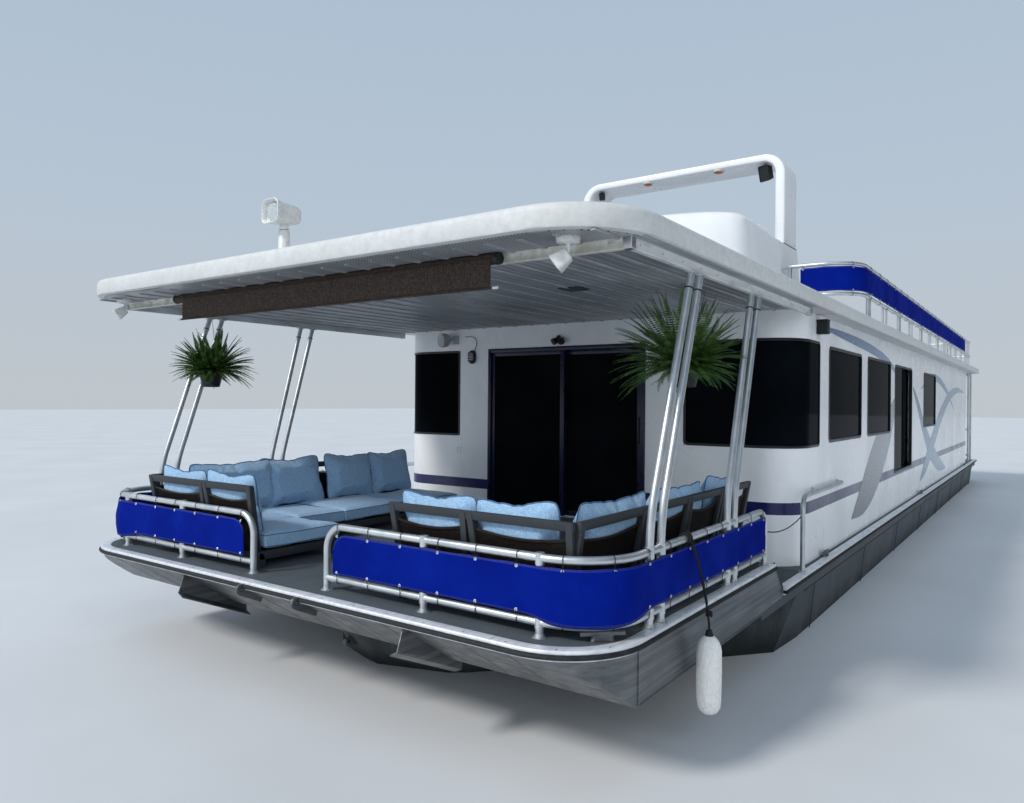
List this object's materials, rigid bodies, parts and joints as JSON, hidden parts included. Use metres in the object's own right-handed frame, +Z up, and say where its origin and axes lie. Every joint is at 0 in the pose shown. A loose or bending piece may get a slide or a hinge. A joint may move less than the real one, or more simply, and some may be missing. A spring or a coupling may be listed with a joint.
{
  "type": "houseboat",
  "caption": "Wide aluminium-hulled houseboat with a long cabin, covered bow porch with seats, railed roof deck with helm and arch, and steered stern drives.",
  "frame": {"origin": "on the centreline, amidships (half the overall hull length), at the waterline", "axes": "+X to port, +Y aft, +Z up; the bow points to -Y"},
  "size_m": [5.711, 22.9506, 6.57],
  "materials": {
    "aluminium": "brushed, weathered plate",
    "deck": "matt non-skid paint",
    "strip": "satin strip over rubber",
    "gelcoat": "white gelcoat",
    "roof": "weathered white gelcoat",
    "glass": "dark tinted glass",
    "canvas": "royal blue woven canvas",
    "stainless": "polished tube",
    "charcoal": "powder coat",
    "cushion": "light blue woven fabric",
    "mesh": "brown shade mesh",
    "fern": "green leaves and dark pot",
    "fender": "white ribbed cover",
    "rope": "black braided cord",
    "drive_paint": "satin dark grey"
  },
  "bodies": {
    "boat": {"hull": "aluminium", "bow_deck": "deck", "bow_rub_rail": "strip", "rub_rail_port": "strip", "rub_rail_starboard": "strip", "bow_step_port": "aluminium", "bow_step_starboard": "aluminium", "cabin_front": "gelcoat", "cabin_side_port": "gelcoat", "cabin_side_starboard": "gelcoat", "cabin_rear": "gelcoat", "cabin_floor": "deck", "front_glass_port": "glass", "front_glass_starboard": "glass", "side_glass_port": "glass", "side_glass_starboard": "glass", "front_door_fixed": "glass", "rear_door_fixed": "glass", "roof": "roof", "screen_track": "stainless", "bow_rail_port": "stainless", "bow_rail_starboard": "stainless", "bow_canvas_port": "canvas", "bow_canvas_starboard": "canvas", "handrail_port": "stainless", "handrail_starboard": "stainless", "upper_rail_port": "stainless", "upper_rail_starboard": "stainless", "upper_canvas_port": "canvas", "upper_canvas_starboard": "canvas", "cowl": "gelcoat", "arch": "gelcoat", "helm_console": "gelcoat", "helm_bench": "gelcoat", "searchlight_base": "gelcoat", "shade_roller": "charcoal", "shade_fabric": "mesh", "sofa_frame_port": "charcoal", "sofa_frame_starboard": "charcoal", "sofa_cushions_port": "cushion", "sofa_cushions_starboard": "cushion", "fern_port": "fern", "fern_starboard": "fern", "fender": "fender", "fender_line": "rope", "gate_cord": "rope", "stern_rail": "stainless", "stern_canvas": "canvas", "aft_stair": "aluminium"},
    "front_door": {"front_door": "glass"},
    "side_door_port": {"side_door_port": "glass"},
    "side_door_starboard": {"side_door_starboard": "glass"},
    "rear_door": {"rear_door": "glass"},
    "helm_wheel": {"helm_wheel": "charcoal"},
    "searchlight": {"searchlight_head": "gelcoat"},
    "drive_port": {"drive_port": "drive_paint"},
    "drive_starboard": {"drive_starboard": "drive_paint"},
    "propeller_port": {"propeller_port": "drive_paint"},
    "propeller_starboard": {"propeller_starboard": "drive_paint"}
  },
  "joints": [
    {"name": "front_door_slide", "type": "slide", "parent": "boat", "child": "front_door", "axis": [-1, 0, 0], "range_m": [0, 0.95]},
    {"name": "side_door_port_slide", "type": "slide", "parent": "boat", "child": "side_door_port", "axis": [0, -1, 0], "range_m": [0, 0.82]},
    {"name": "side_door_starboard_slide", "type": "slide", "parent": "boat", "child": "side_door_starboard", "axis": [0, -1, 0], "range_m": [0, 0.82]},
    {"name": "rear_door_slide", "type": "slide", "parent": "boat", "child": "rear_door", "axis": [-1, 0, 0], "range_m": [0, 0.8]},
    {"name": "steer_port", "type": "hinge", "parent": "boat", "child": "drive_port", "pos_m": [0.95, 10.69, 0.18], "axis": [0, 0, 1], "range_deg": [-28, 28]},
    {"name": "steer_starboard", "type": "hinge", "parent": "boat", "child": "drive_starboard", "pos_m": [-0.95, 10.69, 0.18], "axis": [0, 0, 1], "range_deg": [-28, 28]},
    {"name": "helm_turn", "type": "hinge", "parent": "boat", "child": "helm_wheel", "pos_m": [-0.6, -5.295, 4.08], "axis": [0, -0.9397, -0.342], "range_deg": [-540, 540]},
    {"name": "searchlight_pan", "type": "hinge", "parent": "boat", "child": "searchlight", "pos_m": [-0.63, -10.81, 3.62], "axis": [0, 0, 1], "range_deg": [-175, 175]},
    {"name": "propeller_port_spin", "type": "hinge", "parent": "drive_port", "child": "propeller_port", "pos_m": [0.95, 11.116, -0.64], "axis": [0, 1, 0], "continuous": true},
    {"name": "propeller_starboard_spin", "type": "hinge", "parent": "drive_starboard", "child": "propeller_starboard", "pos_m": [-0.95, 11.116, -0.64], "axis": [0, 1, 0], "continuous": true}
  ],
  "couplings": [
    {"joint": "steer_starboard", "follows": "steer_port", "ratio": 1},
    {"joint": "helm_turn", "follows": "steer_port", "ratio": 19.25}
  ]
}
